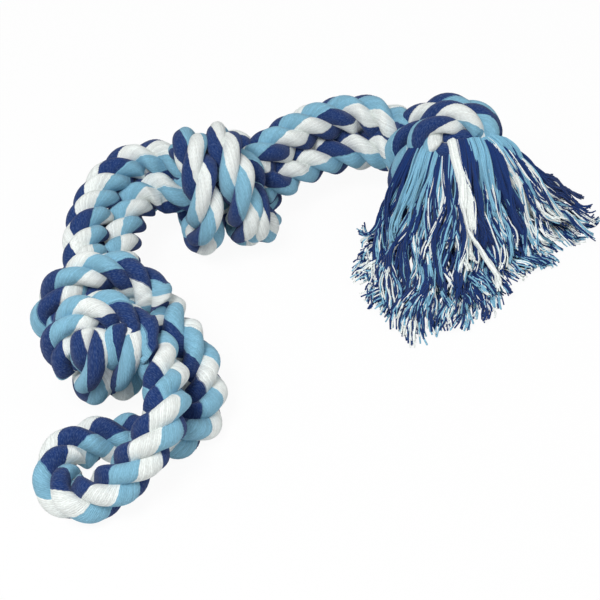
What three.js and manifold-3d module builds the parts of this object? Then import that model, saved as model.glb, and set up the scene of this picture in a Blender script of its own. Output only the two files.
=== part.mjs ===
// Rope dog toy: one thick three-strand cotton rope, doubled back on itself. The fold makes a tug loop at
// one end, three knots hold the two runs together, and both rope ends are frayed into a tassel.
// Millimetres, +Z up. The toy lies on the floor, z = 0, and the origin is on the floor under the middle knot.
import * as THREE from "three";
import { mergeVertices } from "three/addons/utils/BufferGeometryUtils.js";
import Module from "manifold-3d";

const wasm = await Module();
wasm.setup();

// Driving dimensions
const ROPE_DIAMETER = 28;
const DRAWN_DIAMETER = 25; // of rope drawn tight in a knot
const KNOT_DIAMETER = 94;
const PRESSED_FLAT = 2.8; // how far the soft rope is pressed flat where it lies on the floor
const CLEARANCE = 0.3; // between pieces that touch
const MOUTH_TOP = 71; // height of the tassel's yarns where they come out over the knot's mouth
const MOUTH_FLOOR = 40; // and of the lowest of them
const LOCK_END_HEIGHT = 8; // thickness of the tassel at the tips of its yarns
const TUCK_DEPTH = 15.4; // how far a turn's end dives into its knot
const TUCK_SHARE = 0.22; // share of a turn over which its end dives

// Facets
const ROPE_SIDES = 10;
const LOCK_SIDES = 10;
const LOCK_STEPS = 8;
const HEART_SEGMENTS = 16;
const DEGREES_PER_STEP = 18; // of a knot's turn
const SPAN_STEPS = 11;
const LEG_STEPS = 5;
const LOOP_STEPS = 36;

// Places that follow from the sizes
const ROPE_RADIUS = ROPE_DIAMETER / 2;
const DRAWN_RADIUS = DRAWN_DIAMETER / 2;
const TURN_RADIUS = KNOT_DIAMETER / 2 - DRAWN_RADIUS; // from a knot's centre to the middle of its outer turns
const HOOK_RADIUS = TURN_RADIUS + 2; // of the loop knot's turns that go down under it
const LOOP_ARCH_RADIUS = TURN_RADIUS - 10; // of its inner arching turn, nearer to the loop
const TASSEL_ARCH_RADIUS = TURN_RADIUS - 9; // of the turn that the tassel comes out under
const HEART_RADIUS = TURN_RADIUS - DRAWN_RADIUS / 2; // squeezed rope inside a knot, up in between its turns
const KNOT_HEIGHT = KNOT_DIAMETER / 2 - PRESSED_FLAT;
const LYING_HEIGHT = ROPE_RADIUS - PRESSED_FLAT; // middle of a rope that lies on the floor

const LOOP_KNOT = new THREE.Vector3(-84, -142, KNOT_HEIGHT);
const MIDDLE_KNOT = new THREE.Vector3(-8, -2, KNOT_HEIGHT);
const TASSEL_KNOT = new THREE.Vector3(149, 18, KNOT_HEIGHT);

// Cotton colours
const WHITE = 0xe9edf0;
const NAVY = 0x243f8f;
const SKY_BLUE = 0x76b4d6;

const cotton = (colour) =>
  new THREE.MeshStandardMaterial({ color: colour, roughness: 0.95, metalness: 0 });

// Solids and cuts
function solidFrom(geometry) {
  const bare = geometry.clone();
  bare.deleteAttribute("normal");
  bare.deleteAttribute("uv");
  const merged = mergeVertices(bare, 1e-4);
  return new wasm.Manifold(
    new wasm.Mesh({
      numProp: 3,
      vertProperties: merged.attributes.position.array,
      triVerts: new Uint32Array(merged.index.array),
    }),
  );
}

function geometryFrom(solid) {
  const mesh = solid.getMesh();
  const geometry = new THREE.BufferGeometry();
  geometry.setAttribute("position", new THREE.BufferAttribute(mesh.vertProperties, 3));
  geometry.setIndex(new THREE.BufferAttribute(mesh.triVerts, 1));
  geometry.computeVertexNormals();
  return geometry;
}

const FLOOR_SIZE = 1200;
const floor = solidFrom(
  new THREE.BoxGeometry(FLOOR_SIZE, FLOOR_SIZE, FLOOR_SIZE).translate(0, 0, -FLOOR_SIZE / 2),
);

// What is left of a solid in one piece when others are cut from it
function cutBy(solid, others) {
  const rest = others.reduce((left, other) => left.subtract(other), solid);
  return rest.decompose().reduce((a, b) => (b.volume() > a.volume() ? b : a));
}

// Rope: a round section carried along a curve
function ropeGeometry(curve, steps, radius) {
  const corners = Array.from({ length: ROPE_SIDES }, (_, i) => {
    const angle = (2 * Math.PI * (i + 0.5)) / ROPE_SIDES;
    return new THREE.Vector2(radius * Math.cos(angle), radius * Math.sin(angle));
  });
  return new THREE.ExtrudeGeometry(new THREE.Shape(corners), {
    steps,
    bevelEnabled: false,
    extrudePath: curve,
  });
}

const rope = (curve, steps, radius = ROPE_RADIUS) =>
  solidFrom(ropeGeometry(curve, steps, radius)).subtract(floor);
const roomForRope = (curve, steps, radius = ROPE_RADIUS) =>
  solidFrom(ropeGeometry(curve, steps, radius + CLEARANCE));

const route = (points) =>
  new THREE.CatmullRomCurve3(
    points.map((p) => new THREE.Vector3(...p)),
    false,
    "centripetal",
  );

// One turn of rope over a knot: part of a circle round the knot in the plane of the directions u and v, whose
// middle drifts along the circle's axis, and whose ends can be tucked into the knot.
class KnotTurn extends THREE.Curve {
  constructor({ centre, u, v, from, to, shift, radius = TURN_RADIUS, tuck = [1, 1] }) {
    super();
    Object.assign(this, { centre, u, v, from, to, shift, radius, tuck });
    this.axis = u.clone().cross(v);
  }
  getPoint(t, target = new THREE.Vector3()) {
    const angle = THREE.MathUtils.degToRad(THREE.MathUtils.lerp(this.from, this.to, t));
    const nearStart = 1 - THREE.MathUtils.smoothstep(t, 0, TUCK_SHARE);
    const nearEnd = THREE.MathUtils.smoothstep(t, 1 - TUCK_SHARE, 1);
    const reach = this.radius - TUCK_DEPTH * (nearStart * this.tuck[0] + nearEnd * this.tuck[1]);
    return target
      .copy(this.centre)
      .addScaledVector(this.u, reach * Math.cos(angle))
      .addScaledVector(this.v, reach * Math.sin(angle))
      .addScaledVector(this.axis, THREE.MathUtils.lerp(this.shift[0], this.shift[1], t));
  }
}

const turnSteps = (turn) => Math.ceil(Math.abs(turn.to - turn.from) / DEGREES_PER_STEP);

const direction = (x, y, z) => new THREE.Vector3(x, y, z).normalize();

// Directions of a knot: along its own axis, level across it, and square to both
function knotFrame(azimuth, tilt) {
  const a = THREE.MathUtils.degToRad(azimuth);
  const e = THREE.MathUtils.degToRad(tilt);
  const axis = direction(Math.cos(a) * Math.cos(e), Math.sin(a) * Math.cos(e), Math.sin(e));
  const across = direction(-Math.sin(a), Math.cos(a), 0);
  return { axis, across, over: axis.clone().cross(across) };
}

const heartBall = (centre, radius) =>
  solidFrom(
    new THREE.SphereGeometry(radius, HEART_SEGMENTS, HEART_SEGMENTS / 2).translate(...centre.toArray()),
  );

// A knot: turns listed from the outside in, each pressed into by the ones before it, over a heart of squeezed
// rope. through is the room of any other rope that runs into the heart.
function knot(centre, turns, through = []) {
  const pieces = [];
  const room = [];
  for (const turn of turns) {
    pieces.push(cutBy(rope(turn, turnSteps(turn), DRAWN_RADIUS), room));
    room.push(roomForRope(turn, turnSteps(turn), DRAWN_RADIUS));
  }
  const heart = cutBy(heartBall(centre, HEART_RADIUS), [...room, ...through]);
  return { pieces, heart, room: [...room, heartBall(centre, HEART_RADIUS + CLEARANCE)] };
}

// Middle knot: two turns side by side over the front, one slanting out from under them, one across the back
const middle = knotFrame(15, 0);
const middleBack = middle.axis.clone().negate();
const wrap = { u: middle.across, v: middle.over };
const middleTurns = [
  { ...wrap, from: 25, to: 335, shift: [-27, -25] },
  { ...wrap, from: 25, to: 335, shift: [-9, 11] },
  { ...wrap, from: 150, to: 375, shift: [3, 39], tuck: [0.5, 0.5] },
  { u: middle.across, v: middleBack, from: -55, to: 65, shift: [0, 0], tuck: [0.2, 0.2] },
].map((turn) => new KnotTurn({ centre: MIDDLE_KNOT, ...turn }));

// Loop knot: two turns come out of its middle and go down under, and two arch over it and run on into the
// loop's legs
const loopward = knotFrame(-78, 40);
const INNER_ARCH_DROP = 13; // how far the inner arching turn hangs below the outer one
const INNER_ARCH_ASIDE = 6; // and to its side
const hook = { u: loopward.axis, v: loopward.over.clone().negate(), radius: HOOK_RADIUS, tuck: [0.5, 0.5] };
const loopArch = { u: loopward.across, v: loopward.over, tuck: [0, 1] };
const innerArchCentre = LOOP_KNOT.clone()
  .addScaledVector(loopward.over, -INNER_ARCH_DROP)
  .addScaledVector(loopward.across, -INNER_ARCH_ASIDE);
const loopTurns = [
  { ...hook, from: -5, to: 150, shift: [-12, -14] },
  { ...hook, from: -5, to: 150, shift: [7, 4] },
  {
    ...loopArch,
    centre: innerArchCentre,
    from: 25,
    to: 215,
    shift: [25, 15],
    radius: LOOP_ARCH_RADIUS,
    tuck: [0, 0.3],
  },
  { ...loopArch, from: 25, to: 205, shift: [-8, -18] },
].map((turn) => new KnotTurn({ centre: LOOP_KNOT, ...turn }));

// Tassel knot: two turns arch over the place where the rope ends come out
const tasselward = knotFrame(-80, 35);
const tasselArch = { u: tasselward.across, v: tasselward.over };
const BROW_RISE = 6; // of the turn over the tassel's mouth, above the knot's middle
const brow = TASSEL_KNOT.clone().addScaledVector(tasselward.over, BROW_RISE);
const tasselTurns = [
  {
    ...tasselArch,
    centre: brow,
    from: 5,
    to: 175,
    shift: [10, 10],
    radius: TASSEL_ARCH_RADIUS,
    tuck: [0.4, 0.4],
  },
  { ...tasselArch, from: -35, to: 290, shift: [-13, -13] },
].map((turn) => new KnotTurn({ centre: TASSEL_KNOT, ...turn }));

// Routes of the rope between the knots, chosen by eye: each run of the doubled rope has its own
const LOOP_SPAN_OUTER = [
  [-98, -105, 51],
  [-102, -82, 50],
  [-103, -56, 49],
  [-100, -29, 47],
  [-90, -2, 46],
  [-74, 14, 47],
  [-58, 15, 48],
  [-44, 11, 47],
];
const LOOP_SPAN_INNER = [
  [-75, -107, 35],
  [-79, -84, 35],
  [-81, -56, 33],
  [-78, -29, 31],
  [-68, -10, 32],
  [-56, -6, 34],
  [-44, -7, 35],
];
const TASSEL_SPAN_UPPER = [
  [18, 22, 51],
  [29, 33, 52],
  [45, 45, 54],
  [64, 54, 55],
  [82, 59, 55],
  [99, 55, 53],
  [120, 41, 50],
];
const TASSEL_SPAN_LOWER = [
  [24, 13, 29],
  [32, 21, 29],
  [46, 32, 28],
  [64, 41, 29],
  [82, 44, 31],
  [99, 41, 34],
  [113, 33, 38],
];

// The loop goes on from the ends of the loop knot's two arching turns: down the inner leg, round on the
// floor, under itself, and up the outer leg
const [, , innerArch, outerArch] = loopTurns;
function runOut(turn) {
  const end = turn.getPoint(0);
  const onward = turn.getTangent(0).negate();
  return [CLEARANCE, ROPE_RADIUS].map((step) => end.clone().addScaledVector(onward, step).toArray());
}
const LOOP = route([
  ...runOut(innerArch),
  [-50, -170, 46],
  [-44, -185, 43],
  [-42, -201, 41],
  [-42, -218, 40.5],
  [-50, -234, 35],
  [-63, -249, 24],
  [-80, -259, 15],
  [-97, -260, LYING_HEIGHT],
  [-107, -249, LYING_HEIGHT],
  [-109, -233, LYING_HEIGHT],
  [-103, -218, LYING_HEIGHT],
  [-88, -209, LYING_HEIGHT],
  [-69, -206, LYING_HEIGHT],
  [-50, -206, LYING_HEIGHT],
  [-34, -204, LYING_HEIGHT],
  [-23, -193, 12],
  [-21, -177, 18],
  [-26, -160, 28],
  [-37, -146, 38],
  ...runOut(outerArch).reverse(),
]);
const LEG_SHARE = 0.13; // of the loop's length, on each side

// A stretch of a longer rope between two shares of its length
class Stretch extends THREE.Curve {
  constructor(whole, from, to) {
    super();
    const gap = CLEARANCE / 2 / whole.getLength();
    Object.assign(this, { whole, from: from + gap, to: to - gap });
  }
  getPoint(t, target) {
    return this.whole.getPointAt(THREE.MathUtils.lerp(this.from, this.to, t), target);
  }
}
const LEG_INNER = new Stretch(LOOP, 0, LEG_SHARE);
const HAND_LOOP = new Stretch(LOOP, LEG_SHARE, 1 - LEG_SHARE);
const LEG_OUTER = new Stretch(LOOP, 1 - LEG_SHARE, 1);
const legRooms = [LEG_INNER, LEG_OUTER].map((leg) => roomForRope(leg, LEG_STEPS));

const middleKnot = knot(MIDDLE_KNOT, middleTurns);
const loopKnot = knot(LOOP_KNOT, loopTurns, legRooms);
const tasselKnot = knot(TASSEL_KNOT, tasselTurns);

// The two runs of a span: the second is pressed into by the first, and both end against the knots
function span(runs, knots, others = []) {
  const room = [...knots.flatMap((k) => k.room), ...others];
  const [first, second] = runs.map((points) => [route(points), SPAN_STEPS]);
  return [cutBy(rope(...first), room), cutBy(rope(...second), [...room, roomForRope(...first)])];
}

// Tassel: the six strand ends, each frayed into a lock of yarn that comes out of the knot's mouth, falls and
// spreads on the floor. Side by side they fan out round the knot's front, and two neighbours share an edge.
const LOCK_EDGES = [
  // where an edge leaves the mouth, off the knot's middle, its azimuth in degrees, and its length in plan
  { aside: -30, azimuth: -156, length: 70 },
  { aside: -22, azimuth: -130, length: 100 },
  { aside: -14, azimuth: -109, length: 134 },
  { aside: -3, azimuth: -90, length: 126 },
  { aside: 8, azimuth: -66, length: 100 },
  { aside: 19, azimuth: -38, length: 94 },
  { aside: 30, azimuth: 4, length: 84 },
];
const LOCK_LENGTHS = [74, 122, 144, 108, 92, 104]; // down the middle of each lock
const MOUTH_SQUEEZE = 0.85; // of the yarns' places inside the mouth
const LIP_SPREAD = 1.3; // and where they bend over its lip
const LIP_REACH = 38;
const AHEAD_SHARE = 0.45; // how much of the way over the lip is straight ahead, and not yet along the azimuth
const LOCK_ROUNDING = 0.6; // power of the sine that rounds a lock's section, flatter on top below 1
const TOP_FALL = [0.08, 0.9]; // shares of a lock's length between which its top falls from the mouth
const UNDER_FALL = [0.03, 0.68]; // and its underside

// Path of a lock's middle or edge in plan, seen from the knot's middle
function lockPath({ aside, azimuth, length }) {
  const a = THREE.MathUtils.degToRad(azimuth);
  const along = new THREE.Vector2(Math.cos(a), Math.sin(a));
  const ahead = new THREE.Vector2(0, -AHEAD_SHARE).addScaledVector(along, 1 - AHEAD_SHARE).normalize();
  const root = new THREE.Vector2(aside * MOUTH_SQUEEZE, 0);
  const lip = new THREE.Vector2(root.x * LIP_SPREAD, 0).addScaledVector(ahead, LIP_REACH);
  return new THREE.QuadraticBezierCurve(root, lip, along.multiplyScalar(length));
}

// A lock is a stack of oval rings between its two edges
function lockSolid(left, right, length) {
  const middle = {
    aside: (left.aside + right.aside) / 2,
    azimuth: (left.azimuth + right.azimuth) / 2,
    length,
  };
  const [leftPath, middlePath, rightPath] = [left, middle, right].map(lockPath);
  const vertices = [];
  const centres = [];
  for (let i = 0; i <= LOCK_STEPS; i += 1) {
    const t = i / LOCK_STEPS;
    const [a, m, b] = [leftPath, middlePath, rightPath].map((path) => path.getPoint(t));
    const fallen = (shares) => THREE.MathUtils.smoothstep(t, ...shares);
    const top = THREE.MathUtils.lerp(MOUTH_TOP, LOCK_END_HEIGHT, fallen(TOP_FALL));
    const under = THREE.MathUtils.lerp(MOUTH_FLOOR, -PRESSED_FLAT, fallen(UNDER_FALL));
    const inset = 1 - (2 * CLEARANCE) / a.distanceTo(b);
    const ringPoint = (across, upward) =>
      new THREE.Vector3(
        TASSEL_KNOT.x + m.x + (across * (b.x - a.x)) / 2 + across ** 2 * ((a.x + b.x) / 2 - m.x),
        TASSEL_KNOT.y + m.y + (across * (b.y - a.y)) / 2 + across ** 2 * ((a.y + b.y) / 2 - m.y),
        (top + under) / 2 + (upward * (top - under)) / 2,
      );
    centres.push(ringPoint(0, 0));
    for (let k = 0; k < LOCK_SIDES; k += 1) {
      const angle = (2 * Math.PI * k) / LOCK_SIDES;
      const upward = Math.sign(Math.sin(angle)) * Math.abs(Math.sin(angle)) ** LOCK_ROUNDING;
      vertices.push(...ringPoint(inset * Math.cos(angle), upward).toArray());
    }
  }
  const index = [];
  for (let i = 0; i < LOCK_STEPS; i += 1) {
    for (let k = 0; k < LOCK_SIDES; k += 1) {
      const a = i * LOCK_SIDES + k;
      const b = i * LOCK_SIDES + ((k + 1) % LOCK_SIDES);
      index.push(a, b, a + LOCK_SIDES, b, b + LOCK_SIDES, a + LOCK_SIDES);
    }
  }
  const caps = [centres[0], centres[LOCK_STEPS]].map((c) => vertices.push(...c.toArray()) / 3 - 1);
  for (let k = 0; k < LOCK_SIDES; k += 1) {
    const next = (k + 1) % LOCK_SIDES;
    index.push(caps[0], next, k);
    index.push(caps[1], LOCK_STEPS * LOCK_SIDES + k, LOCK_STEPS * LOCK_SIDES + next);
  }
  const geometry = new THREE.BufferGeometry();
  geometry.setAttribute("position", new THREE.Float32BufferAttribute(vertices, 3));
  geometry.setIndex(index);
  return solidFrom(geometry);
}

// Assembly
const toy = new THREE.Group();
function add(name, solid, colour) {
  const mesh = new THREE.Mesh(geometryFrom(solid), cotton(colour));
  mesh.name = name;
  toy.add(mesh);
}

add("hand_loop", rope(HAND_LOOP, LOOP_STEPS), SKY_BLUE);
add("loop_leg_inner", cutBy(rope(LEG_INNER, LEG_STEPS), loopKnot.room.slice(0, 2)), NAVY);
add("loop_leg_outer", cutBy(rope(LEG_OUTER, LEG_STEPS), [...loopKnot.room.slice(0, 3), legRooms[0]]), WHITE);

for (const [name, made] of [
  ["loop_knot", loopKnot],
  ["middle_knot", middleKnot],
  ["tassel_knot", tasselKnot],
]) {
  made.pieces.forEach((piece, i) => add(`${name}_turn_${i + 1}`, piece, [NAVY, WHITE, SKY_BLUE][i % 3]));
  add(`${name}_heart`, made.heart, WHITE);
}

const loopSpan = span([LOOP_SPAN_OUTER, LOOP_SPAN_INNER], [loopKnot, middleKnot], legRooms);
add("loop_span_outer", loopSpan[0], WHITE);
add("loop_span_inner", loopSpan[1], SKY_BLUE);
const tasselSpan = span([TASSEL_SPAN_UPPER, TASSEL_SPAN_LOWER], [middleKnot, tasselKnot]);
add("tassel_span_upper", tasselSpan[0], SKY_BLUE);
add("tassel_span_lower", tasselSpan[1], NAVY);

LOCK_LENGTHS.forEach((length, i) => {
  const lock = cutBy(lockSolid(LOCK_EDGES[i], LOCK_EDGES[i + 1], length), [floor, ...tasselKnot.room]);
  add(`tassel_lock_${i + 1}`, lock, [SKY_BLUE, NAVY, WHITE][i % 3]);
});

export default toy;
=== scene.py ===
"""Rope dog toy on a pale floor: a doubled three-strand cotton rope with a loop, three knots and a tassel."""

import bpy
import numpy as np
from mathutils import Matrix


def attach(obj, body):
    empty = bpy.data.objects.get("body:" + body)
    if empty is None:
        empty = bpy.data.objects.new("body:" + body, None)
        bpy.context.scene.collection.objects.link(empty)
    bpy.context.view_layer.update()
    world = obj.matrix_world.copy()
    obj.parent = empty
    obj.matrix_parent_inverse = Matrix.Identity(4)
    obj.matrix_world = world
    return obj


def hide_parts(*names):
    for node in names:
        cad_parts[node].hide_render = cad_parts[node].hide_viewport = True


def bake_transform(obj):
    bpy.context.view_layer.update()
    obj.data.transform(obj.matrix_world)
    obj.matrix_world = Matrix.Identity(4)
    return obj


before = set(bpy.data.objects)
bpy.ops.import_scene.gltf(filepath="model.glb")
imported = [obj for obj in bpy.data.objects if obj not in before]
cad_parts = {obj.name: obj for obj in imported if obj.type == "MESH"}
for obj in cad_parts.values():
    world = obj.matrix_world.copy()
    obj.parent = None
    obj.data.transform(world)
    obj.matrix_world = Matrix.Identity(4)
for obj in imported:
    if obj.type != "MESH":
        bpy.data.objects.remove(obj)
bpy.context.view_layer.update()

# Sizes in millimetres, as in the solids
MM = 0.001
ROPE_RADIUS = 14.0
DRAWN_RADIUS = 12.5
KNOT_RADIUS = 47.0
KNOT_HEIGHT = 44.2
TURN_RADIUS = KNOT_RADIUS - DRAWN_RADIUS
TUCK_DEPTH = 15.4
TUCK_SHARE = 0.22
LYING_HEIGHT = 11.2
LOOP_KNOT = np.array([-84.0, -142.0, KNOT_HEIGHT])
MIDDLE_KNOT = np.array([-8.0, -2.0, KNOT_HEIGHT])
TASSEL_KNOT = np.array([149.0, 18.0, KNOT_HEIGHT])
UP = np.array([0.0, 0.0, 1.0])

# Laid rope: its radius over the strands in the loop, the spans and a knot, and its lay, free and in a knot
LOOP_RADIUS = 15.3
SPAN_RADIUS = 15.2
BAND_RADIUS = 13.4
FREE_LAY = 61.0
KNOT_LAY = 95.0
STRAND_OFFSET = 0.48
ROUND_END = 8.0
RING_STEP = 1.1
LOBE_POINTS = 22

# Plies: turns of the ply angle for each turn round a strand, and for each turn of the lay
SPAN_PLIES = (2.0, 2.0)
LOOP_PLIES = (1.5, 2.05)
KNOT_PLIES = (2.0, 2.0)
# Turns of the ply angle for each turn that the lay starts with
PHASE_PLIES = 2.0
# A ply wanders along the rope and is a ridge that fades at its strand's edges, and strands swell a little
PLY_WANDER = 0.25
PLY_WANDER_LENGTH = 23.0
PLY_RIDGE = 1.4
RIDGE_ROUNDNESS = 0.55
RIDGE_LEVEL = 0.75
RIDGE_FADE = 4
SWELL = 0.25
SWELL_RATE = 1.7
SWELL_STEP = 2.1
ANY_PHASE = (0.0, 6.28)
# Colours by the ply angle in turns: a third for each ply, and where the middles of two of them are
THIRD = 1.0 / 3.0
NAVY_MIDDLE = 0.5
SKY_MIDDLE = 5.0 / 6.0

# Camera
camera = bpy.data.objects.new("camera", bpy.data.cameras.new("camera"))
camera.data.lens = 100.0
camera.data.sensor_width = 36.0
camera.location = (0.0403, -0.8859, 0.8100)
camera.rotation_euler = (np.radians(45.0), 0.0, 0.0)
bpy.context.scene.collection.objects.link(camera)
bpy.context.scene.camera = camera


# Curves
def unit(v):
    """Vectors along the last axis, divided by their lengths."""
    return v / np.linalg.norm(v, axis=-1, keepdims=True)


def smooth(t, start, stop):
    """Smoothstep: 3x^2 - 2x^3 of where t lies between start and stop, held at 0 and 1 outside."""
    x = np.clip((t - start) / (stop - start), 0.0, 1.0)
    return x * x * (3.0 - 2.0 * x)


def arc_lengths(points):
    """Each point's distance from the start along the polyline."""
    return np.concatenate([[0.0], np.cumsum(np.linalg.norm(np.diff(points, axis=0), axis=1))])


def path_shares(points):
    """Each point's arc length from the start, as a share of the whole."""
    lengths = arc_lengths(points)
    return lengths / lengths[-1]


def evenly(points, step):
    """Points on the same polyline at equal arc lengths of about step, and those arc lengths."""
    lengths = arc_lengths(points)
    count = int(np.ceil(lengths[-1] / step)) + 1
    s = np.linspace(0.0, lengths[-1], count)
    return np.stack([np.interp(s, lengths, points[:, i]) for i in range(3)], axis=1), s


def route(points, per_span=30):
    """Centripetal Catmull-Rom curve: cubic spans through the points, whose knots are apart by the square root
    of the distance between points, and whose tangents at the ends come from mirrored neighbours."""
    p = np.asarray(points, float)
    p = np.vstack([2 * p[0] - p[1], p, 2 * p[-1] - p[-2]])
    a, b, c, d = p[:-3, None], p[1:-2, None], p[2:-1, None], p[3:, None]
    gaps = (b - a, c - b, d - c)
    ab, bc, cd = (np.sqrt(np.linalg.norm(gap, axis=2, keepdims=True)) for gap in gaps)
    tangent_b = bc * ((b - a) / ab - (c - a) / (ab + bc) + (c - b) / bc)
    tangent_c = bc * ((c - b) / bc - (d - b) / (bc + cd) + (d - c) / cd)
    t = np.linspace(0.0, 1.0, per_span, endpoint=False)[None, :, None]
    hermite = (
        (2 * t**3 - 3 * t**2 + 1) * b
        + (t**3 - 2 * t**2 + t) * tangent_b
        + (3 * t**2 - 2 * t**3) * c
        + (t**3 - t**2) * tangent_c
    )
    return np.vstack([hermite.reshape(-1, 3), p[-2]])


def knot_frame(azimuth, tilt):
    """A knot's own axis, the level direction across it, and the direction over it, square to both."""
    a, e = np.radians([azimuth, tilt])
    axis = np.array([np.cos(a) * np.cos(e), np.sin(a) * np.cos(e), np.sin(e)])
    across = np.array([-np.sin(a), np.cos(a), 0.0])
    return axis, across, np.cross(axis, across)


def knot_turn(centre, u, v, start, stop, shift, radius=TURN_RADIUS, tuck=(1.0, 1.0)):
    """Part of a circle round the knot in the plane of u and v, from start to stop in degrees, whose middle
    drifts along the circle's axis from shift[0] to shift[1], and whose ends dive into the knot by shares of
    the tuck depth."""
    t = np.linspace(0.0, 1.0, 300)
    angle = np.radians(start + (stop - start) * t)
    dive = tuck[0] * (1.0 - smooth(t, 0.0, TUCK_SHARE)) + tuck[1] * smooth(t, 1.0 - TUCK_SHARE, 1.0)
    reach = radius - TUCK_DEPTH * dive
    drift = shift[0] + (shift[1] - shift[0]) * t
    return (
        centre
        + (reach * np.cos(angle))[:, None] * u
        + (reach * np.sin(angle))[:, None] * v
        + drift[:, None] * np.cross(u, v)
    )


# Meshes
def solid_object(name, parts, material):
    """One object from several closed grids. Each part is (points, faces with 4 corners, faces with 3 corners,
    and the UV of every corner in that order)."""
    vertices, corners, starts, uvs = [], [], [], []
    vertex_count, corner_count = 0, 0
    for points, quads, triangles, uv in parts:
        vertices.append(points * MM)
        for faces in (quads, triangles):
            corners.append(faces.ravel() + vertex_count)
            starts.append(corner_count + faces.shape[1] * np.arange(len(faces)))
            corner_count += faces.size
        vertex_count += len(points)
        uvs.append(uv)
    mesh = bpy.data.meshes.new(name)
    mesh.vertices.add(vertex_count)
    mesh.vertices.foreach_set("co", np.concatenate(vertices).astype(np.float32).ravel())
    mesh.loops.add(corner_count)
    mesh.loops.foreach_set("vertex_index", np.concatenate(corners).astype(np.int32))
    starts = np.concatenate(starts).astype(np.int32)
    mesh.polygons.add(len(starts))
    mesh.polygons.foreach_set("loop_start", starts)
    mesh.polygons.foreach_set("use_smooth", np.ones(len(starts), bool))
    layer = mesh.uv_layers.new(name="yarn")
    layer.data.foreach_set("uv", np.concatenate(uvs).astype(np.float32).ravel())
    mesh.materials.append(material)
    mesh.update(calc_edges=True)
    mesh.validate()
    piece = bpy.data.objects.new(name, mesh)
    bpy.context.scene.collection.objects.link(piece)
    return piece


def carried_frames(p, side):
    """Two directions square to a path that are carried along it without turning about it: the first is the
    one before, with its part along the new tangent taken out, and the second is square to it and to the
    tangent."""
    tangent = unit(np.gradient(p, axis=0))
    normal = np.empty_like(p)
    last = side
    for i, along in enumerate(tangent):
        last = last - (last @ along) * along
        last = last / np.sqrt(last @ last)
        normal[i] = last
    return normal, np.cross(tangent, normal)


def rope_faces(rows, around):
    """Faces of a tube of rows with some points around, whose two end points come after them: quads between
    the rows, and a fan of triangles at each end."""
    i, j = np.meshgrid(np.arange(rows - 1), np.arange(around), indexing="ij")
    k = (j + 1) % around
    quads = np.stack([i * around + j, i * around + k, (i + 1) * around + k, (i + 1) * around + j], axis=2)
    j = np.arange(around)
    k = (j + 1) % around
    first_end = np.full(around, rows * around)
    last_row = (rows - 1) * around
    first = np.stack([first_end, k, j], axis=1)
    last = np.stack([first_end + 1, last_row + j, last_row + k], axis=1)
    return quads.reshape(-1, 4), np.vstack([first, last])


def rope_uv(left, right, along):
    """UV of a tube's corners, in the order of its faces. left and right are the u of a face's two sides, row
    by row, because u jumps from one strand to the next, and along is each row's v."""
    v = np.repeat(along[:, None], left.shape[1], axis=1)
    left, right = np.stack([left, v], axis=2), np.stack([right, v], axis=2)
    quads = np.stack([left[:-1], right[:-1], right[1:], left[1:]], axis=2)
    first = np.stack([left[0], right[0], left[0]], axis=1)
    last = np.stack([left[-1], left[-1], right[-1]], axis=1)
    return np.vstack([corners.reshape(-1, 2) for corners in (quads, first, last)])


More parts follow.
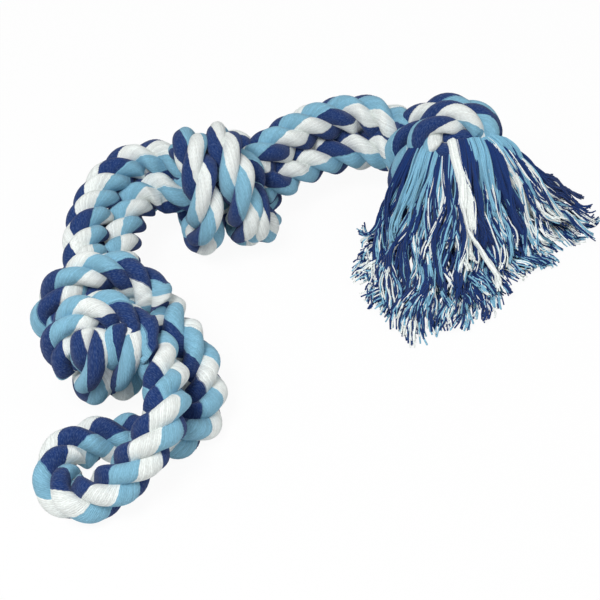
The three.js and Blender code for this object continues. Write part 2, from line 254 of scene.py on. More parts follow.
def laid_rope(
    path,
    side,
    tight,
    phase,
    radius,
    plies=KNOT_PLIES,
    order=1.0,
    hands=(1, 1, 1),
    mirror=SKY_MIDDLE,
    dye=0.0,
    seed=0,
):
    """Three strands laid into a rope along a path. A section is three lobes, each an arc of a circle whose
    centre is STRAND_OFFSET * radius off the axis, and it turns once in every lay. tight goes from 0, the lay
    of free rope with the plies given, to 1, those of rope drawn over a knot. On each lobe the ply angle grows
    with the angle from the lobe's middle and with the turn of the lay, by plies, and each strand starts 120
    degrees times order after the last. dye adds turns to the ply angle. A strand with hand -1 has its colours
    in the other order, mirrored about the colour at mirror. Each ply is a low ridge, highest at its middle.
    Both ends close in a quarter circle, and nothing goes under the floor. tight, radius, order and dye are
    one value, or one for each point of the path."""
    rng = np.random.default_rng(seed)
    p, s = evenly(path, RING_STEP)
    shares, even_shares = path_shares(path), np.linspace(0.0, 1.0, len(s))
    tight, radius, order, dye = (
        np.interp(even_shares, shares, np.broadcast_to(np.asarray(given, float), len(path)))
        for given in (tight, radius, order, dye)
    )
    normal, binormal = carried_frames(p, side)
    end_gap = np.minimum(s, s[-1] - s)
    closing = np.sqrt(np.clip(1.0 - (1.0 - np.minimum(end_gap / ROUND_END, 1.0)) ** 2, 0.0, 1.0))
    # Turn of the lay, and the ply angle at the middle of the first lobe
    lay_step = 2.0 * np.pi * ((1.0 - tight) / FREE_LAY + tight / KNOT_LAY) * np.gradient(s)
    turn = np.cumsum(lay_step) + phase
    by_angle, by_turn = (free + (drawn - free) * tight for free, drawn in zip(plies, KNOT_PLIES))
    ply_turn = np.cumsum(by_turn * lay_step) + PHASE_PLIES * phase + 2.0 * np.pi * dye
    ply_turn = ply_turn + PLY_WANDER * np.sin(s / PLY_WANDER_LENGTH + rng.uniform(*ANY_PHASE))
    # Lobes: w is the angle from the lobe's middle, with points closer together at the lobe's edges
    lobe = np.arange(3)
    lobe_angle = (lobe * 2.0 * np.pi / 3.0)[None, :, None]
    w = np.radians(60.0) * np.sin(np.linspace(-0.5, 0.5, LOBE_POINTS + 1) * np.pi)
    arc = STRAND_OFFSET * np.cos(w) + np.sqrt((1.0 - STRAND_OFFSET) ** 2 - (STRAND_OFFSET * np.sin(w)) ** 2)
    ply = by_angle[:, None, None] * w + ply_turn[:, None, None] + order[:, None, None] * lobe_angle
    fade = 1.0 - (np.abs(w) / w[-1]) ** RIDGE_FADE
    ridge = PLY_RIDGE * (np.abs(np.sin(1.5 * ply)) ** RIDGE_ROUNDNESS - RIDGE_LEVEL) * fade
    swell = SWELL * np.sin(turn[:, None] * SWELL_RATE + lobe * SWELL_STEP + rng.uniform(*ANY_PHASE))
    reach = (radius[:, None, None] * arc + swell[:, :, None] * fade + ridge) * closing[:, None, None]
    angle = w + turn[:, None, None] + lobe_angle
    ring = reach[:, :, :-1].reshape(len(s), -1)
    spin = angle[:, :, :-1].reshape(len(s), -1)
    points = (
        p[:, None, :]
        + (ring * np.cos(spin))[:, :, None] * normal[:, None, :]
        + (ring * np.sin(spin))[:, :, None] * binormal[:, None, :]
    )
    points[:, :, 2] = np.maximum(points[:, :, 2], 0.0)
    rows, around = len(s) - 2, points.shape[1]
    quads, triangles = rope_faces(rows, around)
    # UV: ply angle in turns, and the length along the rope in centimetres
    u = (mirror + np.array(hands)[None, :, None] * (ply / (2.0 * np.pi) - mirror))[1:-1]
    uv = rope_uv(u[:, :, :-1].reshape(rows, around), u[:, :, 1:].reshape(rows, around), s[1:-1] / 10.0)
    return np.vstack([points[1:-1].reshape(-1, 3), p[[0, -1]]]), quads, triangles, uv


# Finishes
WHITE = (0.85, 0.89, 0.865, 1.0)
NAVY = (0.0105, 0.038, 0.16, 1.0)
SKY_BLUE = (0.225, 0.475, 0.63, 1.0)
LINT = (0.45, 0.58, 0.72, 1.0)
COTTON_ROUGHNESS = 0.92
COTTON_SPECULAR = 0.15
COTTON_SHEEN = 0.12
# Colours by place in the ramp: along the ply angle in turns, and for the tassel by yarn
ROPE_STOPS = (
    (0.0, WHITE),
    (0.325, WHITE),
    (0.338, NAVY),
    (0.66, NAVY),
    (0.673, SKY_BLUE),
    (0.99, SKY_BLUE),
    (1.0, WHITE),
)
TASSEL_STOPS = ((0.0, WHITE), (0.333, NAVY), (0.667, SKY_BLUE))
# Yarns in a turn of the ply angle, and how far the edges of a ply wander and stray, in turns
YARNS_PER_TURN = 42.0
EDGE_WANDER = 0.05
EDGE_STRAY = 0.02
# Noise on the rope: stretch by two coordinates, scale and detail
WANDER_NOISE = (3.0, 1.3, 1.6, 2.0)
FIBRE_NOISE = (1.5, 7.0, 1.0, 3.0)
FLECK_NOISE = (80.0, 8.0, 0.85, 4.0)
# Tones: how much each changes the colour, and the share of the colour where it is darkest
YARN_TONE = (0.18, 0.90)
# The groove tone is painted shade: the colour darkened in the grooves between the yarns
GROOVE_PAINTED_SHADE = (0.09, 0.86)
FIBRE_TONE = (0.24, 0.93)
FLECK_TONE = (0.6, 0.7)
LINT_SHARE = 0.4
LINT_START = 0.45
# Bump: strength, and distance in millimetres
ROPE_BUMP = (0.7, 0.35)
RIDGE_POWER = 0.7
FIBRE_HEIGHT = 0.6
TASSEL_FIBRES = 900.0
TASSEL_FIBRE_TONE = (0.35, 0.68)
TASSEL_YARN_TONE = 0.3
TASSEL_BUMP = (0.5, 0.2)


class CottonNodes:
    """A matt cotton material whose colour comes from the yarn UV map, and short ways to add nodes to it."""

    def __init__(self, name):
        self.material = bpy.data.materials.new(name)
        self.material.use_nodes = True
        self.nodes, self.links = self.material.node_tree.nodes, self.material.node_tree.links
        self.shader = self.nodes["Principled BSDF"]
        self.shader.inputs["Roughness"].default_value = COTTON_ROUGHNESS
        self.shader.inputs["Specular IOR Level"].default_value = COTTON_SPECULAR
        self.shader.inputs["Sheen Weight"].default_value = COTTON_SHEEN
        uv = self.nodes.new("ShaderNodeUVMap")
        uv.uv_map = "yarn"
        parts = self.nodes.new("ShaderNodeSeparateXYZ")
        self.links.new(uv.outputs[0], parts.inputs[0])
        self.u, self.v = parts.outputs[0], parts.outputs[1]

    def set(self, socket, value):
        """Gives a socket a number or colour, or links another node's output to it."""
        if isinstance(value, bpy.types.NodeSocket):
            self.links.new(value, socket)
        else:
            socket.default_value = value

    def math(self, operation, *values):
        """A Math node on numbers or sockets."""
        node = self.nodes.new("ShaderNodeMath")
        node.operation = operation
        for socket, value in zip(node.inputs, values):
            self.set(socket, value)
        return node.outputs[0]

    def line(self, value, factor, offset):
        """value * factor + offset."""
        return self.math("ADD", offset, self.math("MULTIPLY", value, factor))

    def stretched_noise(self, x, y, stretch_x, stretch_y, scale, detail):
        """Smooth noise at two coordinates, each multiplied by its stretch."""
        node = self.nodes.new("ShaderNodeCombineXYZ")
        self.links.new(self.math("MULTIPLY", x, stretch_x), node.inputs[0])
        self.links.new(self.math("MULTIPLY", y, stretch_y), node.inputs[1])
        return self.noise(node.outputs[0], scale, detail)

    def noise(self, vector, scale, detail=2.0):
        """Smooth noise at a vector."""
        node = self.nodes.new("ShaderNodeTexNoise")
        node.inputs["Scale"].default_value = scale
        node.inputs["Detail"].default_value = detail
        self.links.new(vector, node.inputs["Vector"])
        return node.outputs[0]

    def chance(self, value):
        """A random number for each value."""
        node = self.nodes.new("ShaderNodeTexWhiteNoise")
        node.noise_dimensions = "1D"
        self.links.new(value, node.inputs["W"])
        return node.outputs[0]

    def ramp(self, value, interpolation, stops):
        """Colours at places from 0 to 1."""
        node = self.nodes.new("ShaderNodeValToRGB")
        node.color_ramp.interpolation = interpolation
        elements = node.color_ramp.elements
        elements.remove(elements[1])
        elements[0].position, elements[0].color = stops[0]
        for position, colour in stops[1:]:
            elements.new(position).color = colour
        self.links.new(value, node.inputs[0])
        return node.outputs[0]

    def mix(self, blend_type, factor, a, b):
        """A Mix node on two colours."""
        node = self.nodes.new("ShaderNodeMix")
        node.data_type = "RGBA"
        node.blend_type = blend_type
        self.set(node.inputs["Factor"], factor)
        self.set(node.inputs["A"], a)
        self.set(node.inputs["B"], b)
        return node.outputs["Result"]

    def finish(self, colour, height, bump_strength, bump_distance):
        """Links the colour and the bump to the shader, and gives back the material."""
        self.links.new(colour, self.shader.inputs["Base Color"])
        bump = self.nodes.new("ShaderNodeBump")
        bump.inputs["Strength"].default_value = bump_strength
        bump.inputs["Distance"].default_value = bump_distance * MM
        self.links.new(height, bump.inputs["Height"])
        self.links.new(bump.outputs[0], self.shader.inputs["Normal"])
        return self.material


def rope_finish():
    """Cotton whose colour follows the ply angle: three plies to a turn, their edges broken up yarn by yarn,
    each yarn a little lighter or darker, with flecks and pale lint on it and painted shade darkening it
    towards the grooves between the yarns, ridges between the yarns and fine fibres in the bump."""
    made = CottonNodes("rope_cotton")
    u, v, math = made.u, made.v, made.math
    wander = made.stretched_noise(u, v, *WANDER_NOISE)
    bent = math("ADD", u, math("MULTIPLY", math("SUBTRACT", wander, 0.5), EDGE_WANDER))
    lines = math("MULTIPLY", bent, YARNS_PER_TURN)
    chance = made.chance(math("FLOOR", lines))
    stray = math("MULTIPLY", math("SUBTRACT", chance, 0.5), EDGE_STRAY)
    ply = math("FRACT", math("ADD", bent, stray))
    dyed = made.ramp(ply, "LINEAR", ROPE_STOPS)
    ridge = math("ABSOLUTE", math("SINE", math("MULTIPLY", lines, np.pi)))
    fibre = made.stretched_noise(lines, v, *FIBRE_NOISE)
    fleck = made.stretched_noise(u, v, *FLECK_NOISE)
    # Painted shade: the yarn colour is darkened towards the grooves between the yarns
    tone = math("MULTIPLY", made.line(chance, *YARN_TONE), made.line(ridge, *GROOVE_PAINTED_SHADE))
    tone = math("MULTIPLY", tone, made.line(fibre, *FIBRE_TONE))
    tone = math("MULTIPLY", tone, made.line(fleck, *FLECK_TONE))
    toned = made.mix("MULTIPLY", 1.0, dyed, tone)
    lint = math("MULTIPLY", math("MAXIMUM", math("SUBTRACT", fleck, LINT_START), 0.0), LINT_SHARE)
    height = math("ADD", math("POWER", ridge, RIDGE_POWER), math("MULTIPLY", fibre, FIBRE_HEIGHT))
    return made.finish(made.mix("MIX", lint, toned, LINT), height, *ROPE_BUMP)


def tassel_finish():
    """Loose yarn: its colour follows u, the same all along a yarn, with fine fibres in its tone and bump."""
    made = CottonNodes("tassel_cotton")
    dyed = made.ramp(made.u, "CONSTANT", TASSEL_STOPS)
    coordinates = made.nodes.new("ShaderNodeTexCoord")
    fibre = made.noise(coordinates.outputs["Object"], TASSEL_FIBRES)
    fibre_tone = made.math("MULTIPLY_ADD", fibre, *TASSEL_FIBRE_TONE)
    tone = made.math("MULTIPLY_ADD", made.chance(made.u), TASSEL_YARN_TONE, fibre_tone)
    return made.finish(made.mix("MULTIPLY", 1.0, dyed, tone), fibre, *TASSEL_BUMP)


rope_cotton = rope_finish()
tassel_cotton = tassel_finish()

# Knot turns, as in the solids, but for how deep the third of the middle knot and the second of the tassel's
# tuck in: angles from start to stop, then the shift along the turn's axis
HOOK_RADIUS = TURN_RADIUS + 2
LOOP_ARCH_RADIUS = TURN_RADIUS - 10
TASSEL_ARCH_RADIUS = TURN_RADIUS - 9
INNER_ARCH_DROP = 13.0
INNER_ARCH_ASIDE = 6.0
BROW_RISE = 6.0
middle_axis, middle_across, middle_over = knot_frame(15, 0)
loop_axis, loop_across, loop_over = knot_frame(-78, 40)
tassel_axis, tassel_across, tassel_over = knot_frame(-80, 35)
INNER_ARCH = LOOP_KNOT - INNER_ARCH_DROP * loop_over - INNER_ARCH_ASIDE * loop_across
TASSEL_ARCH = TASSEL_KNOT + BROW_RISE * tassel_over

middle_turns = [
    knot_turn(MIDDLE_KNOT, middle_across, middle_over, 25, 335, (-27, -25)),
    knot_turn(MIDDLE_KNOT, middle_across, middle_over, 25, 335, (-9, 11)),
    knot_turn(MIDDLE_KNOT, middle_across, middle_over, 150, 375, (3, 39), tuck=(1.2, 0.5)),
    knot_turn(MIDDLE_KNOT, middle_across, -middle_axis, -55, 65, (0, 0), tuck=(0.2, 0.2)),
]
loop_turns = [
    knot_turn(LOOP_KNOT, loop_axis, -loop_over, -5, 150, (-12, -14), HOOK_RADIUS, (0.5, 0.5)),
    knot_turn(LOOP_KNOT, loop_axis, -loop_over, -5, 150, (7, 4), HOOK_RADIUS, (0.5, 0.5)),
]
inner_arch = knot_turn(INNER_ARCH, loop_across, loop_over, 25, 215, (25, 15), LOOP_ARCH_RADIUS, (0, 0.3))
outer_arch = knot_turn(LOOP_KNOT, loop_across, loop_over, 25, 205, (-8, -18), tuck=(0, 1))
tassel_turns = [
    knot_turn(TASSEL_ARCH, tassel_across, tassel_over, 5, 175, (10, 10), TASSEL_ARCH_RADIUS, (0.4, 0.4)),
    knot_turn(TASSEL_KNOT, tassel_across, tassel_over, -35, 290, (-13, -13), tuck=(1.9, 1.9)),
]

# Tug loop: from the inner arch down its leg, round on the floor, under itself and up the outer leg
LEG_START = 0.3
ARCH_TIGHT = 0.15
ORDER_CHANGE = 0.06
TUG_LOOP_PHASE = 0.4
inner_end, outer_end = inner_arch[0], outer_arch[0]
inner_way = unit(inner_arch[0] - inner_arch[1])
outer_way = unit(outer_arch[0] - outer_arch[1])
TUG_LOOP = [
    inner_end + LEG_START * inner_way,
    inner_end + ROPE_RADIUS * inner_way,
    (-50, -170, 46), (-44, -185, 43), (-42, -201, 41), (-42, -218, 40.5), (-50, -233, 35), (-63, -247, 24),
    (-80, -257, 15), (-97, -257, LYING_HEIGHT), (-107, -247, LYING_HEIGHT), (-109, -233, LYING_HEIGHT),
    (-103, -220, LYING_HEIGHT), (-88, -212, LYING_HEIGHT), (-69, -209, LYING_HEIGHT),
    (-50, -208, LYING_HEIGHT), (-34, -205, LYING_HEIGHT), (-23, -193, 12), (-21, -177, 18), (-26, -160, 28),
    (-37, -146, 38),
    outer_end + ROPE_RADIUS * outer_way,
    outer_end + LEG_START * outer_way,
]
loop_path = route(TUG_LOOP)
on_arch = np.repeat((1.0, 0.0, 1.0), (len(inner_arch), len(loop_path), len(outer_arch)))
whole_path = np.vstack([inner_arch[::-1], loop_path, outer_arch])
thickness = LOOP_RADIUS + (BAND_RADIUS - LOOP_RADIUS) * on_arch
shares = path_shares(whole_path)
leg_start, leg_end = shares[len(inner_arch)], shares[-len(outer_arch)]
order_places = (leg_start, leg_start + ORDER_CHANGE, leg_end - ORDER_CHANGE, leg_end)
ply_order = np.interp(shares, order_places, (1.0, -1.0, -1.0, 1.0))
tug_rope = laid_rope(
    whole_path, loop_axis, ARCH_TIGHT * on_arch, TUG_LOOP_PHASE, thickness, LOOP_PLIES, ply_order, (1, 1, -1),
    NAVY_MIDDLE, THIRD, seed=1,
)
tug_loop = solid_object("tug_loop", [tug_rope], rope_cotton)
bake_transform(tug_loop)
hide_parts("hand_loop", "loop_leg_inner", "loop_leg_outer", "loop_knot_turn_3", "loop_knot_turn_4")

# Knots: the turns over each knot, with how tightly they are drawn, the hands of their strands and their dye
TURN_PHASE = 1.7
middle_sides = (middle_axis, middle_axis, middle_axis, middle_over)
for knot_name, turns, sides, tight, hands, dye in (
    ("loop_knot", loop_turns, (loop_across, loop_across), 0.7, (1, -1, 1), -THIRD),
    ("middle_knot", middle_turns, middle_sides, 0.35, (-1, 1, -1), 0.0),
    ("tassel_knot", tassel_turns, (tassel_axis, tassel_axis), 0.3, (1, 1, -1), THIRD),
):
    for number, (turn, side) in enumerate(zip(turns, sides), start=1):
        phase, seed = TURN_PHASE * number, 10 + number
        rope = laid_rope(turn, side, tight, phase, BAND_RADIUS, hands=hands, dye=dye, seed=seed)
        piece = solid_object(f"{knot_name}_band_{number}", [rope], rope_cotton)
        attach(piece, knot_name)
        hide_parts(f"{knot_name}_turn_{number}")

# Hearts: a ring of rope in each knot, along the knot's axis from CORE_BACK to a front of its own
CORE_BACK = -30.0
CORE_BEND = 14.0
CORE_PHASE = 0.7
HEART_RISE = 5.0
TASSEL_HEART = TASSEL_ARCH + HEART_RISE * tassel_over


def bight(centre, axis, aside, back, front):
    """A flat closed ring of rope in a knot's heart: two straight runs along the axis, joined by half circles
    whose outer sides reach from back to front less the rope's own radius. It starts midway along one run."""
    t = np.linspace(-0.5, 0.5, 60)[:, None] * np.pi
    rear, fore = back + BAND_RADIUS + CORE_BEND, front - BAND_RADIUS - CORE_BEND
    middle = centre + (rear + fore) / 2.0 * axis
    turned = np.cos(t) * axis
    front_turn = centre + fore * axis + CORE_BEND * (turned + np.sin(t) * aside)
    back_turn = centre + rear * axis - CORE_BEND * (turned + np.sin(t) * aside)
    start = middle - CORE_BEND * aside
    return np.vstack([start, front_turn, back_turn, start])


for knot_name, centre, axis, aside, front in (
    ("loop_knot", LOOP_KNOT, loop_axis, loop_across, 30.0),
    ("middle_knot", MIDDLE_KNOT, middle_axis, middle_over, 28.0),
    ("tassel_knot", TASSEL_HEART, tassel_axis, tassel_across, 26.0),
):
    heart_path = bight(centre, axis, aside, CORE_BACK, front)
    heart_rope = laid_rope(heart_path, np.cross(axis, aside), 1.0, CORE_PHASE, BAND_RADIUS, seed=30)
    heart = solid_object(f"{knot_name}_core", [heart_rope], rope_cotton)
    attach(heart, knot_name)
    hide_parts(f"{knot_name}_heart")

# Spans: the two runs of the doubled rope between the knots. The ends of each run go on into the knots
LOOP_SPAN_OUTER = [
    (-88, -127, 36), (-98, -105, 51), (-102, -82, 50), (-103, -56, 49), (-100, -29, 47), (-90, -2, 46),
    (-74, 14, 47), (-58, 15, 48), (-44, 11, 47), (-26, 6, 46),
]
LOOP_SPAN_INNER = [
    (-74, -126, 38), (-76, -107, 36), (-81, -84, 36), (-83, -56, 34), (-80, -28, 33), (-70, -8, 34),
    (-57, -4, 35), (-44, -6, 36), (-26, -6, 38),
]
TASSEL_SPAN_UPPER = [
    (4, 8, 48), (18, 22, 51), (29, 33, 52), (45, 45, 54), (64, 54, 55), (82, 59, 55), (99, 55, 53),
    (120, 41, 50), (136, 30, 48),
]
TASSEL_SPAN_LOWER = [
    (10, 4, 34), (24, 14, 31), (32, 22, 31), (46, 33, 31), (64, 42, 32), (82, 45, 34), (99, 42, 36),
    (113, 34, 38), (132, 24, 41),
]
# Each run's strands: phase, hands, the colour that keeps its place in a turned hand, and the sky blue ply's
# degrees from the top
for name, points, phase, hands, mirror, sky_at, body in (
    ("loop_span_outer", LOOP_SPAN_OUTER, 0.3, (-1, -1, 1), SKY_MIDDLE, 50, "loop_knot"),
    ("loop_span_inner", LOOP_SPAN_INNER, 0.26, (1, 1, -1), NAVY_MIDDLE, -12, "loop_knot"),
    ("tassel_span_upper", TASSEL_SPAN_UPPER, 1.1, (1, 1, -1), SKY_MIDDLE, -5, "tassel_knot"),
    ("tassel_span_lower", TASSEL_SPAN_LOWER, 1.75, (-1, -1, 1), SKY_MIDDLE, 95, "tassel_knot"),
):
    dye = SKY_MIDDLE - SPAN_PLIES[0] * sky_at / 360.0
    rope = laid_rope(route(points), UP, 0.0, phase, SPAN_RADIUS, SPAN_PLIES, -1.0, hands, mirror, dye, 40)
    piece = solid_object(f"{name}_run", [rope], rope_cotton)
    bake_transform(piece)
    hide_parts(name)

# Tassel: six strand ends, each of five plies that fray into loose yarn
LOCK_EDGES = (-156, -130, -109, -90, -66, -38, 4)
LOCK_LENGTHS = (72, 122, 146, 106, 90, 104)
LOCK_MIDDLES = tuple((a + b) / 2 for a, b in zip(LOCK_EDGES, LOCK_EDGES[1:]))
WHITE_PLY, NAVY_PLY, SKY_PLY, MIXED_PLY, PALE_PLY = range(5)
# Shares of white, navy and sky blue yarn in the plies of several colours
COLOUR_SHARES = {MIXED_PLY: (0.2, 0.5, 0.3), PALE_PLY: (0.5, 0.28, 0.22)}
STRAY_SHARE = 0.05
# Plies of each lock, from the lowest up: colour, how high it lies, how far aside of the knot's middle it
# comes out, where it points, its length as a share of the lock's, and its width in the mouth
LOCK_PLIES = (
    (
        (MIXED_PLY, 0.1, -22, -146, 1.0, 17),
        (MIXED_PLY, 0.3, -23, -148, 0.95, 17),
        (MIXED_PLY, 0.5, -22, -134, 1.0, 17),
        (NAVY_PLY, 0.72, -25, -136, 0.75, 14),
        (PALE_PLY, 0.8, -13, -145, 0.95, 6),
    ),
    (
        (MIXED_PLY, 0.1, -18, -122, 1.0, 17),
        (MIXED_PLY, 0.3, -19, -127, 1.0, 17),
        (MIXED_PLY, 0.5, -15, -116, 0.97, 17),
        (MIXED_PLY, 0.7, -10, -103, 0.85, 12),
        (SKY_PLY, 0.8, -17, -119, 0.62, 20),
    ),
    (
        (MIXED_PLY, 0.1, -9, -103, 1.0, 17),
        (MIXED_PLY, 0.35, -12, -108, 1.0, 17),
        (MIXED_PLY, 0.62, -7, -100, 0.97, 17),
        (MIXED_PLY, 0.8, -3, -92, 0.9, 14),
        (WHITE_PLY, 0.97, -4, -76, 0.95, 7),
    ),
    (
        (MIXED_PLY, 0.1, 4, -78, 1.0, 17),
        (MIXED_PLY, 0.35, 0, -86, 1.0, 17),
        (MIXED_PLY, 0.62, 6, -74, 0.97, 17),
        (NAVY_PLY, 0.97, 4, -77, 0.68, 15),
        (SKY_PLY, 1.0, 12, -68, 0.55, 15),
    ),
    (
        (MIXED_PLY, 0.15, 14, -47, 1.0, 17),
        (MIXED_PLY, 0.4, 14, -62, 1.0, 17),
        (MIXED_PLY, 0.65, 18, -46, 0.97, 17),
        (MIXED_PLY, 0.8, 15, -61, 0.9, 14),
        (NAVY_PLY, 0.9, 20, -52, 0.8, 14),
    ),
    (
        (MIXED_PLY, 0.3, 22, -14, 1.0, 17),
        (PALE_PLY, 0.9, 22, -30, 0.95, 18),
        (PALE_PLY, 1.2, 23, -16, 1.0, 16),
        (NAVY_PLY, 1.25, 26, -2, 0.97, 11),
        (SKY_PLY, 1.0, 24, -16, 0.45, 21),
    ),
)
TUFTS_PER_PLY = 10
YARNS_PER_TUFT = 15
YARNS_PER_PLY = TUFTS_PER_PLY * YARNS_PER_TUFT
YARN_STEPS = 30
YARN_SIDES = 4
YARN_RADIUS = 0.56
YARN_RADIUS_SHARES = (0.85, 1.25)
YARNS_ALIKE = 3

# In plan: a tuft's width, how a ply fans out for its width, how yarns differ in length, and the knot's mouth.
# Pairs named for a change are where it starts and stops along a yarn
TUFT_WIDTH = 1.6
FULL_WIDTH = 17.0
TUFT_FAN = 18.0
TUFT_FAN_CHANCE = 5.0
YARN_FAN_CHANCE = 1.2
SHORTEST_TUFT = 0.88
HIGH_TUFT_LOSS = 0.26
HIGH_LAYERS = (0.4, 0.8)
YARN_LENGTH_SHARES = (0.94, 1.02)
ROOT_SQUEEZE = 0.85
LIP_REACH = 38.0
LIP_WIDENING = (1.3, 1.0)
LIP_TURN = 0.55
LIP_FORWARD = 0.45
TOGETHER_SPREAD = (0.6, 0.0)
PARTING = (0.3, 1.0)

# In height: the mouth, the pile of yarns in a tuft, how the plies lie on each other, and how they fall
MOUTH_HEIGHT = 44.0
MOUTH_RISE = 24.0
MOUTH_BULGE = 3.0
MOUTH_START_DROP = 14.0
MOUTH_START = (0.0, 0.1)
PILE_STEP = 0.35
LYING_LOW = 1.2
LYING_RISE = 14.0
LYING_THINNING = 0.45
RANK_CHANCE = 0.03
RANK_LIMIT = 1.2
SINK_LIMIT = 0.3
SINKING = (0.3, 0.8)
SHORT_DIP = 20.0
DIPPING = (0.55, 1.0)
# Where the fall starts and stops: for the lowest layer, and further on for each higher one
FALL_START = (0.02, 0.06)
FALL_STOP = (0.65, 0.27)

# Waves of a tuft and of a yarn, aside and up: size in millimetres, and radians for each centimetre
TUFT_SWAY = (5.0, 1.0)
YARN_SWAY = (0.75, 3.5)
TUFT_HOP = (2.8, 1.1)
YARN_HOP = (0.6, 3.9)
TUFT_WAVE_CHANCE = 0.9
YARN_TIP_CHANCE = 1.2
TUFT_TIP_CHANCE = 5.5
LOOSENING = (0.2, 0.65)
YARN_TIP = (0.5, 1.0)
TUFT_TIP = (0.35, 1.0)


def per_yarn(values):
    """One value for each tuft, repeated for each of its yarns, as a column."""
    return np.repeat(values, YARNS_PER_TUFT)[:, None]


def yarn_plan(rng, layer, aside, azimuth, share, width, tuft_place):
    """Where a ply's yarns lie in plan. Each is the first part of a quadratic Bezier curve, from inside the
    knot's arch, out of its mouth, to the end of the lock at its own azimuth. Yarns keep to the ply's common
    end at first, and part further out. Gives the plan, the Bezier parameter t, and the lock's length at each
    yarn's azimuth."""
    own = np.tile(np.linspace(-0.5, 0.5, YARNS_PER_TUFT), TUFTS_PER_PLY)[:, None]
    lateral = aside + per_yarn(tuft_place) * width + own * TUFT_WIDTH
    tuft_fan = (tuft_place * TUFT_FAN + rng.normal(0.0, TUFT_FAN_CHANCE, TUFTS_PER_PLY)) * width / FULL_WIDTH
    tip_azimuth = azimuth + per_yarn(tuft_fan)
    tip_azimuth = tip_azimuth + rng.normal(0.0, YARN_FAN_CHANCE, (YARNS_PER_PLY, 1))
    full = np.interp(tip_azimuth, LOCK_MIDDLES, LOCK_LENGTHS)
    shortest = SHORTEST_TUFT - HIGH_TUFT_LOSS * smooth(np.array(layer), *HIGH_LAYERS)
    shorter = share * per_yarn(rng.uniform(shortest, 1.0, TUFTS_PER_PLY))
    shorter = shorter * rng.uniform(*YARN_LENGTH_SHARES, (YARNS_PER_PLY, 1))
    t = shorter * np.linspace(0.0, 1.0, YARN_STEPS)
    tip_angle, angle = np.radians(tip_azimuth), np.radians(azimuth)
    root = np.concatenate([lateral * ROOT_SQUEEZE, np.zeros((YARNS_PER_PLY, 1))], axis=1)[:, None, :]
    ahead = unit(np.array([LIP_TURN * np.cos(angle), LIP_TURN * np.sin(angle) - LIP_FORWARD]))
    lip = root * LIP_WIDENING + LIP_REACH * ahead
    tip = full[:, :, None] * np.stack([np.cos(tip_angle), np.sin(tip_angle)], axis=2)
    together = np.mean(tip, axis=0, keepdims=True) + (lateral[:, :, None] - aside) * TOGETHER_SPREAD
    x = t[:, :, None]
    end = together + (tip - together) * smooth(x, *PARTING)
    return (1.0 - x) ** 2 * root + 2.0 * x * (1.0 - x) * lip + x**2 * end, t, full


def yarn_heights(rng, layer, share, tuft_place, t):
    """Heights of a ply's yarns: a rise to the mouth, then a fall by a smoothstep to the floor, or onto the
    plies that lie lower. Some tufts sink between the others, and the ends of a short ply dip."""
    sink = per_yarn(rng.uniform(0.0, SINK_LIMIT, TUFTS_PER_PLY)) * smooth(t, *SINKING)
    rank = np.clip(layer + rng.normal(0.0, RANK_CHANCE, (YARNS_PER_PLY, 1)) - sink, 0.0, RANK_LIMIT)
    piled = [rng.permutation(YARNS_PER_TUFT) for _ in range(TUFTS_PER_PLY)]
    pile = np.concatenate(piled)[:, None] * PILE_STEP
    mouth = MOUTH_HEIGHT + MOUTH_RISE * min(layer, 2.0 - layer) + pile
    mouth = mouth - MOUTH_BULGE * (2.0 * per_yarn(tuft_place)) ** 2
    mouth = mouth - MOUTH_START_DROP * (1.0 - smooth(t, *MOUTH_START))
    lying = LYING_LOW + LYING_RISE * rank * (1.0 - LYING_THINNING * t) + pile * (1.0 - t)
    fall_start, fall_stop = (lowest + further * layer for lowest, further in (FALL_START, FALL_STOP))
    fall = 1.0 - smooth(t, fall_start, fall_stop)
    dip = SHORT_DIP * (1.0 - share) * smooth(np.linspace(0.0, 1.0, YARN_STEPS), *DIPPING)
    return lying + (mouth - lying) * fall - dip


def yarn_waves(rng, t, full):
    """How far each yarn sways aside and hops up: sine waves and a bend of the whole tuft, and smaller ones of
    its own, which grow from the mouth outwards."""
    loose = smooth(t, *LOOSENING)
    along = t * full / 10.0
    tuft = rng.uniform(0.0, 2.0 * np.pi, (2, 1)) + rng.normal(0.0, TUFT_WAVE_CHANCE, (2, TUFTS_PER_PLY))
    yarn = rng.uniform(0.0, 2.0 * np.pi, (2, YARNS_PER_PLY, 1))

    def waves(tuft_wave, yarn_wave, which):
        """A sine along the tuft and one along the yarn, added up, in the looser part."""
        tuft_sine = np.sin(tuft_wave[1] * along + per_yarn(tuft[which]))
        yarn_sine = np.sin(yarn_wave[1] * along + yarn[which])
        return loose * (tuft_wave[0] * tuft_sine + yarn_wave[0] * yarn_sine)

    sway = waves(TUFT_SWAY, YARN_SWAY, 0)
    sway = sway + rng.normal(0.0, YARN_TIP_CHANCE, (YARNS_PER_PLY, 1)) * smooth(t, *YARN_TIP)
    sway = sway + per_yarn(rng.normal(0.0, TUFT_TIP_CHANCE, TUFTS_PER_PLY)) * smooth(t, *TUFT_TIP)
    return sway, waves(TUFT_HOP, YARN_HOP, 1)


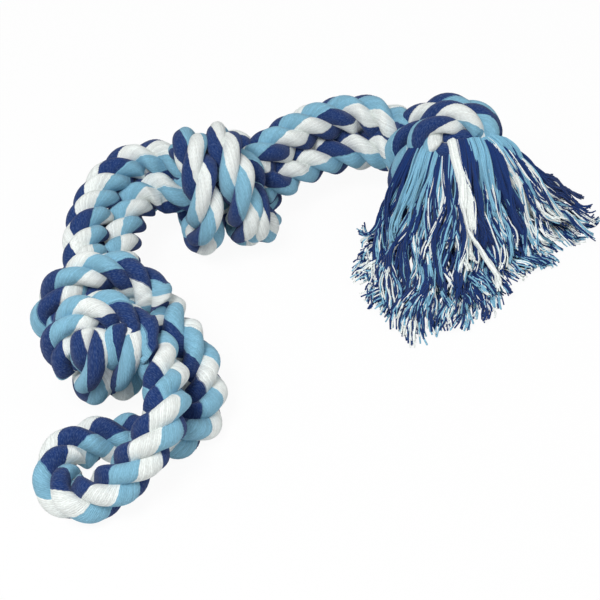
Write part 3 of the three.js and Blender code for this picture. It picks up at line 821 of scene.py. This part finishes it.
def yarn_tubes(rng, middle, aside):
    """Closed tubes with YARN_SIDES sides round the middle lines: points, and faces with 4 and 3 corners."""
    tangent = unit(np.gradient(middle, axis=1))
    normal = unit(np.cross(tangent, aside))
    binormal = np.cross(tangent, normal)
    corner = 2.0 * np.pi * np.arange(YARN_SIDES) / YARN_SIDES
    radius = YARN_RADIUS * rng.uniform(*YARN_RADIUS_SHARES, (YARNS_PER_PLY, 1, 1, 1))
    points = middle[:, :, None, :] + radius * (
        np.cos(corner)[None, None, :, None] * normal[:, :, None, :]
        + np.sin(corner)[None, None, :, None] * binormal[:, :, None, :]
    )
    points[..., 2] = np.maximum(points[..., 2], 0.0)
    base = (np.arange(YARNS_PER_PLY) * YARN_STEPS * YARN_SIDES)[:, None, None]
    i = base + np.arange(YARN_STEPS - 1)[None, :, None] * YARN_SIDES
    j = np.arange(YARN_SIDES)[None, None, :]
    k = (j + 1) % YARN_SIDES
    quads = np.stack([i + j, i + k, i + YARN_SIDES + k, i + YARN_SIDES + j], axis=3)
    fan = np.arange(1, YARN_SIDES - 1)
    start = base[:, 0]
    stop = start + (YARN_STEPS - 1) * YARN_SIDES
    roots = np.stack([start + 0 * fan, start + fan + 1, start + fan], axis=2)
    tips = np.stack([stop + 0 * fan, stop + fan, stop + fan + 1], axis=2)
    return points, quads, np.concatenate([roots, tips], axis=1)


def yarn_colours(rng, colour):
    """Each yarn's u in the colour ramp. A ply of several colours changes every few yarns, and the others have
    some stray yarns."""
    shares = COLOUR_SHARES.get(colour, COLOUR_SHARES[MIXED_PLY])
    mixed = np.repeat(rng.choice(3, YARNS_PER_PLY // YARNS_ALIKE, p=shares), YARNS_ALIKE)
    stray = rng.uniform(0.0, 1.0, YARNS_PER_PLY) < (1.0 if colour in COLOUR_SHARES else STRAY_SHARE)
    return (np.where(stray, mixed, colour) + rng.uniform(0.1, 0.9, YARNS_PER_PLY)) / 3.0


def frayed_ply(colour, layer, aside_mm, azimuth, share, width, seed):
    """The yarns of one ply as closed tubes, side by side in a ribbon at first, then apart in tufts."""
    rng = np.random.default_rng(seed)
    tuft_place = (np.arange(TUFTS_PER_PLY) + 0.5) / TUFTS_PER_PLY - 0.5
    plan, t, full = yarn_plan(rng, layer, aside_mm, azimuth, share, width, tuft_place)
    height = yarn_heights(rng, layer, share, tuft_place, t)
    sway, hop = yarn_waves(rng, t, full)
    way = unit(np.gradient(plan, axis=1))
    aside = np.stack([-way[:, :, 1], way[:, :, 0], np.zeros((YARNS_PER_PLY, YARN_STEPS))], axis=2)
    lifted = np.maximum(height + hop, YARN_RADIUS)[:, :, None]
    middle = np.concatenate([plan + TASSEL_KNOT[:2], lifted], axis=2)
    points, quads, triangles = yarn_tubes(rng, middle + sway[:, :, None] * aside, aside)
    pick = yarn_colours(rng, colour)
    quad_uv = np.zeros(quads.shape + (2,))
    quad_uv[..., 0] = pick[:, None, None, None]
    triangle_uv = np.zeros(triangles.shape + (2,))
    triangle_uv[..., 0] = pick[:, None, None]
    uv = np.vstack([quad_uv.reshape(-1, 2), triangle_uv.reshape(-1, 2)])
    return points.reshape(-1, 3), quads.reshape(-1, 4), triangles.reshape(-1, 3), uv


for number, (plies, azimuth) in enumerate(zip(LOCK_PLIES, LOCK_MIDDLES), start=1):
    bundles = [frayed_ply(*ply, 100 * number + place) for place, ply in enumerate(plies)]
    lock = solid_object(f"tassel_yarns_{number}", bundles, tassel_cotton)
    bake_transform(lock)
    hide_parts(f"tassel_lock_{number}")

# Floor: pale paper, and nearly white where it is looked at
FLOOR_REACH = 4.0
PAPER = (0.86, 0.86, 0.86, 1.0)
PAPER_ROUGHNESS = 0.9
GLOW_SHARE = 0.94
floor_corners = [(x * FLOOR_REACH, y * FLOOR_REACH, 0) for x, y in ((-1, -1), (1, -1), (1, 1), (-1, 1))]
floor_mesh = bpy.data.meshes.new("floor")
floor_mesh.from_pydata(floor_corners, [], [(0, 1, 2, 3)])
floor = bpy.data.objects.new("floor", floor_mesh)
bpy.context.scene.collection.objects.link(floor)
paper = bpy.data.materials.new("pale_paper")
paper.use_nodes = True
nodes, links = paper.node_tree.nodes, paper.node_tree.links
nodes["Principled BSDF"].inputs["Base Color"].default_value = PAPER
nodes["Principled BSDF"].inputs["Roughness"].default_value = PAPER_ROUGHNESS
nodes["Principled BSDF"].inputs["Specular IOR Level"].default_value = 0.0
glow = nodes.new("ShaderNodeEmission")
glow.inputs["Strength"].default_value = 1.0
rays = nodes.new("ShaderNodeLightPath")
rays_that_see = rays.outputs["Is Camera Ray"]
for kind in ("Is Glossy Ray", "Is Transmission Ray"):
    either = nodes.new("ShaderNodeMath")
    either.operation = "MAXIMUM"
    links.new(rays_that_see, either.inputs[0])
    links.new(rays.outputs[kind], either.inputs[1])
    rays_that_see = either.outputs[0]
seen = nodes.new("ShaderNodeMath")
seen.operation = "MULTIPLY"
seen.inputs[1].default_value = GLOW_SHARE
links.new(rays_that_see, seen.inputs[0])
blend = nodes.new("ShaderNodeMixShader")
links.new(seen.outputs[0], blend.inputs[0])
links.new(nodes["Principled BSDF"].outputs[0], blend.inputs[1])
links.new(glow.outputs[0], blend.inputs[2])
links.new(blend.outputs[0], nodes["Material Output"].inputs["Surface"])
floor_mesh.materials.append(paper)

# Light: a white studio, and two soft boxes that face the toy
STUDIO_STRENGTH = 0.32
LIT_PLACE = (0.03, -0.08, 0.0)
world = bpy.data.worlds.new("studio")
bpy.context.scene.world = world
world.use_nodes = True
world.node_tree.nodes["Background"].inputs["Color"].default_value = (1.0, 1.0, 1.0, 1.0)
world.node_tree.nodes["Background"].inputs["Strength"].default_value = STUDIO_STRENGTH


def soft_box(name, location, target, size, power):
    """A square area light at a place, turned to face a target."""
    light = bpy.data.lights.new(name, "AREA")
    light.size = size
    light.energy = power
    lamp = bpy.data.objects.new(name, light)
    lamp.location = location
    aim = np.array(target) - np.array(location)
    lamp.rotation_euler = (
        np.arctan2(np.hypot(aim[0], aim[1]), -aim[2]),
        0.0,
        np.arctan2(aim[1], aim[0]) - np.pi / 2.0,
    )
    bpy.context.scene.collection.objects.link(lamp)


soft_box("key_light", (-0.5, -0.7, 1.5), LIT_PLACE, 0.7, 21.0)
soft_box("fill_light", (0.9, -0.3, 1.1), LIT_PLACE, 0.9, 4.0)

bpy.context.scene.view_settings.view_transform = "Standard"
